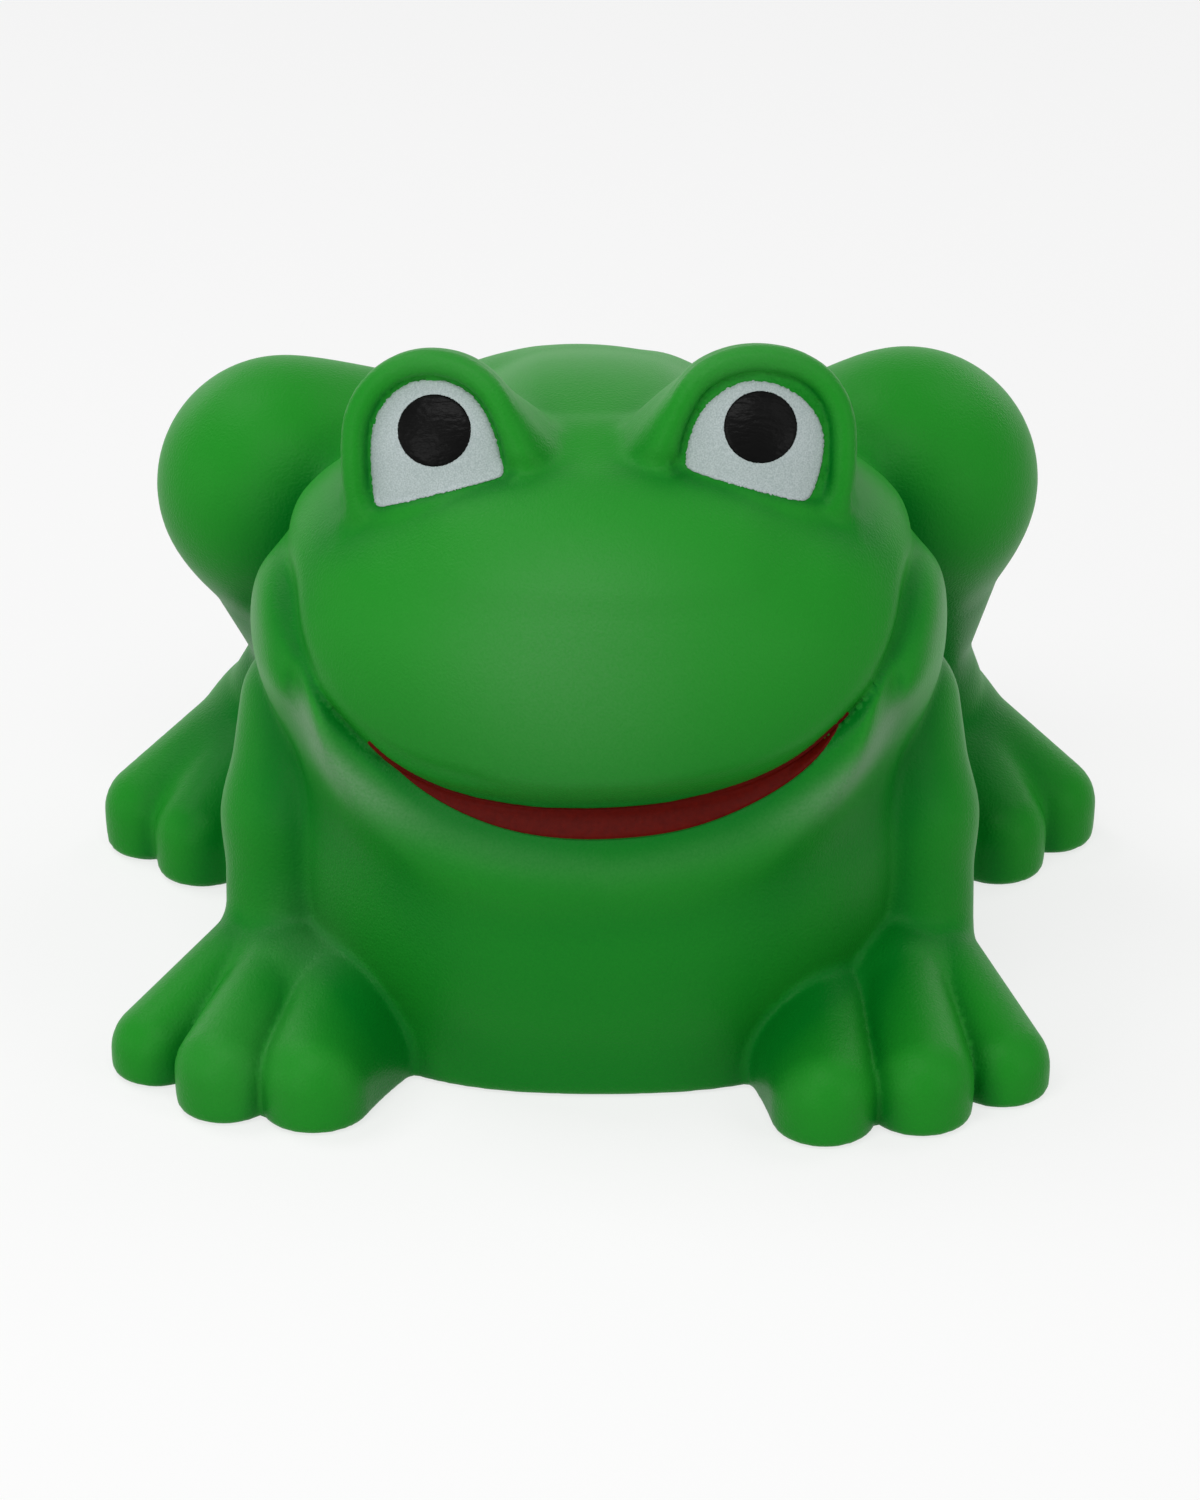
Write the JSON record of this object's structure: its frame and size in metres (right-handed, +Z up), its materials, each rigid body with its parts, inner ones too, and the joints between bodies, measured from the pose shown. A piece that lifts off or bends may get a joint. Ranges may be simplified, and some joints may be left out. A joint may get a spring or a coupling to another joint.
{
  "type": "frog stress ball",
  "caption": "Palm-sized squeeze toy of soft foam in the form of a sitting, smiling green frog with printed eyes and mouth.",
  "frame": {"origin": "on the flat base, under the middle of the belly, where the toy rests on a table", "axes": "+Z up, -Y the way the frog faces, +X to the frog's own left"},
  "size_m": [0.0798, 0.068, 0.0556],
  "materials": {
    "green_skin": "satin green paint on the dense skin of moulded foam",
    "soft_foam": "pale open foam, unseen inside the skin",
    "white_print": "matt white print with a soft edge",
    "black_print": "glossy black print",
    "red_print": "satin dark red print"
  },
  "bodies": {
    "root": {"skin": "green_skin", "foam_core": "soft_foam", "eye_white_left": "white_print", "eye_white_right": "white_print", "pupil_left": "black_print", "pupil_right": "black_print", "mouth_print": "red_print"}
  },
  "joints": []
}
